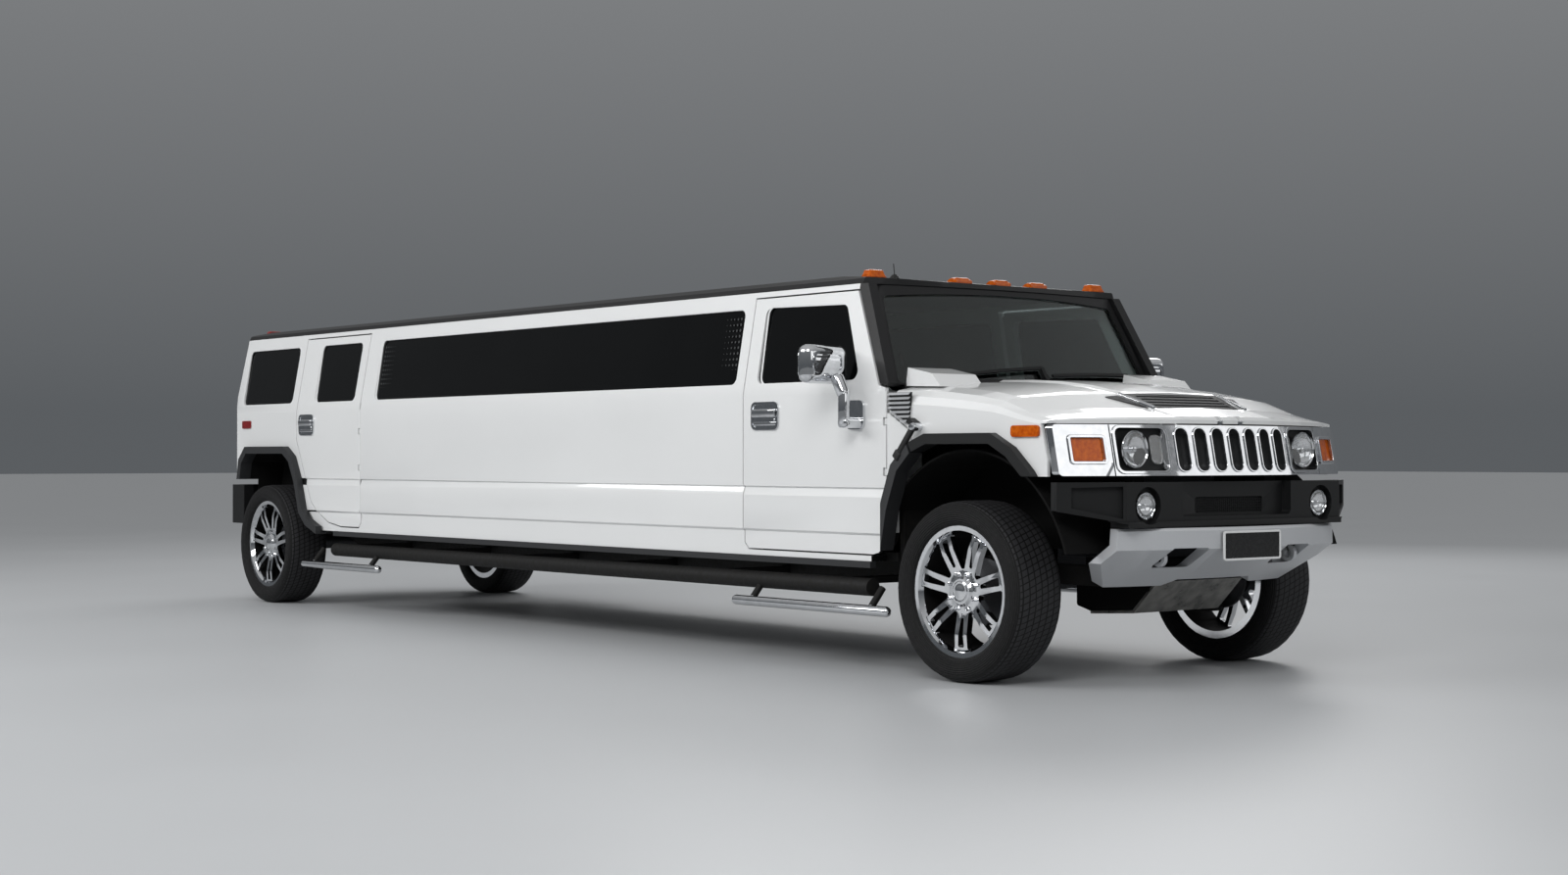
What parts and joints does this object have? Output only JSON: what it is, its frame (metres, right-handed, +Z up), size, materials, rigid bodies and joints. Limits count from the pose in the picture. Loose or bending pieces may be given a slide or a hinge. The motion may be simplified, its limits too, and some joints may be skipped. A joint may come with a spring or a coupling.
{
  "type": "stretch limousine",
  "caption": "Long white stretch limousine on an off-road wagon body, with a black roof, slotted chrome grille, swinging doors, tilting hood, lifting tailgate and steered wheels.",
  "frame": {"origin": "on the ground, under the middle of the car's box", "axes": "+X forward, +Y to the car's left, +Z up"},
  "size_m": [8.7399, 2.56, 1.946],
  "materials": {
    "white_paint": "gloss white enamel",
    "black_paint": "gloss black enamel",
    "black_plastic": "grained black moulding",
    "dark_steel": "black chassis paint",
    "bare_metal": "cast and machined metal",
    "chrome": "polished plating",
    "silver_guard": "satin silver",
    "tinted_glass": "dark privacy glass",
    "clear_glass": "clear glass",
    "amber_lens": "amber moulding",
    "red_lens": "red moulding",
    "tyre_rubber": "black rubber",
    "dash_plastic": "soft dark trim",
    "seat_leather": "tan leather"
  },
  "bodies": {
    "chassis": {"frame": "dark_steel", "floor": "dark_steel", "firewall": "black_plastic", "roof": "black_paint", "windshield_frame": "black_paint", "cowl_sides": "white_paint", "side_panels": "white_paint", "quarter_panels": "white_paint", "windshield": "clear_glass", "side_glass": "tinted_glass", "cladding": "black_plastic", "rock_rails": "dark_steel", "side_steps": "chrome", "grille": "chrome", "front_panel": "black_plastic", "front_bumper": "black_plastic", "bumper_guard": "silver_guard", "skid_plate": "silver_guard", "clear_lamps": "clear_glass", "amber_lamps": "amber_lens", "red_lamps": "red_lens", "rear_bumper": "black_plastic", "hitch": "dark_steel", "wheel_liners": "black_plastic", "engine": "bare_metal", "drive_shaft": "bare_metal", "exhaust": "bare_metal", "fuel_tank": "dark_steel", "front_suspension": "dark_steel", "rear_axle": "dark_steel", "dashboard": "dash_plastic", "seats": "seat_leather", "wipers": "black_plastic"},
    "hood": {"hood": "white_paint", "hood_trim": "black_plastic", "hood_markers": "amber_lens"},
    "front_door_left": {"front_door_left": "white_paint", "front_door_left_glass": "tinted_glass", "front_door_left_chrome": "chrome"},
    "front_door_right": {"front_door_right": "white_paint", "front_door_right_glass": "tinted_glass", "front_door_right_chrome": "chrome"},
    "rear_door_left": {"rear_door_left": "white_paint", "rear_door_left_glass": "tinted_glass", "rear_door_left_handle": "chrome"},
    "rear_door_right": {"rear_door_right": "white_paint", "rear_door_right_glass": "tinted_glass", "rear_door_right_handle": "chrome"},
    "tailgate": {"tailgate": "white_paint", "tailgate_glass": "tinted_glass"},
    "knuckle_left": {"knuckle_left": "bare_metal"},
    "knuckle_right": {"knuckle_right": "bare_metal"},
    "wheel_front_left": {"tyre_front_left": "tyre_rubber", "rim_front_left": "chrome"},
    "wheel_front_right": {"tyre_front_right": "tyre_rubber", "rim_front_right": "chrome"},
    "wheel_rear_left": {"tyre_rear_left": "tyre_rubber", "rim_rear_left": "chrome"},
    "wheel_rear_right": {"tyre_rear_right": "tyre_rubber", "rim_rear_right": "chrome"}
  },
  "joints": [
    {"name": "hood_tilt", "type": "hinge", "parent": "chassis", "child": "hood", "pos_m": [4.248, 0, 1.196], "axis": [0, 1, 0], "range_deg": [0, 60]},
    {"name": "front_door_left_swing", "type": "hinge", "parent": "chassis", "child": "front_door_left", "pos_m": [2.974, 0.979, 1], "axis": [0, 0, -1], "range_deg": [0, 65]},
    {"name": "rear_door_left_swing", "type": "hinge", "parent": "chassis", "child": "rear_door_left", "pos_m": [-2.306, 0.979, 1], "axis": [0, 0, -1], "range_deg": [0, 65]},
    {"name": "front_door_right_swing", "type": "hinge", "parent": "chassis", "child": "front_door_right", "pos_m": [2.974, -0.979, 1], "axis": [0, 0, 1], "range_deg": [0, 65]},
    {"name": "rear_door_right_swing", "type": "hinge", "parent": "chassis", "child": "rear_door_right", "pos_m": [-2.306, -0.979, 1], "axis": [0, 0, 1], "range_deg": [0, 65]},
    {"name": "tailgate_lift", "type": "hinge", "parent": "chassis", "child": "tailgate", "pos_m": [-4.162, 0, 1.858], "axis": [0, 1, 0], "range_deg": [0, 85]},
    {"name": "steer_left", "type": "hinge", "parent": "chassis", "child": "knuckle_left", "pos_m": [3.5, 0.78, 0.416], "axis": [0, 0, 1], "range_deg": [-30, 30]},
    {"name": "steer_right", "type": "hinge", "parent": "chassis", "child": "knuckle_right", "pos_m": [3.5, -0.78, 0.416], "axis": [0, 0, 1], "range_deg": [-30, 30]},
    {"name": "wheel_front_left_spin", "type": "hinge", "parent": "knuckle_left", "child": "wheel_front_left", "pos_m": [3.5, 0.8815, 0.416], "axis": [0, 1, 0], "continuous": true},
    {"name": "wheel_rear_left_spin", "type": "hinge", "parent": "chassis", "child": "wheel_rear_left", "pos_m": [-3.645, 0.8815, 0.416], "axis": [0, 1, 0], "continuous": true},
    {"name": "wheel_front_right_spin", "type": "hinge", "parent": "knuckle_right", "child": "wheel_front_right", "pos_m": [3.5, -0.8815, 0.416], "axis": [0, 1, 0], "continuous": true},
    {"name": "wheel_rear_right_spin", "type": "hinge", "parent": "chassis", "child": "wheel_rear_right", "pos_m": [-3.645, -0.8815, 0.416], "axis": [0, 1, 0], "continuous": true}
  ],
  "couplings": [
    {"joint": "steer_right", "follows": "steer_left", "ratio": 1}
  ]
}
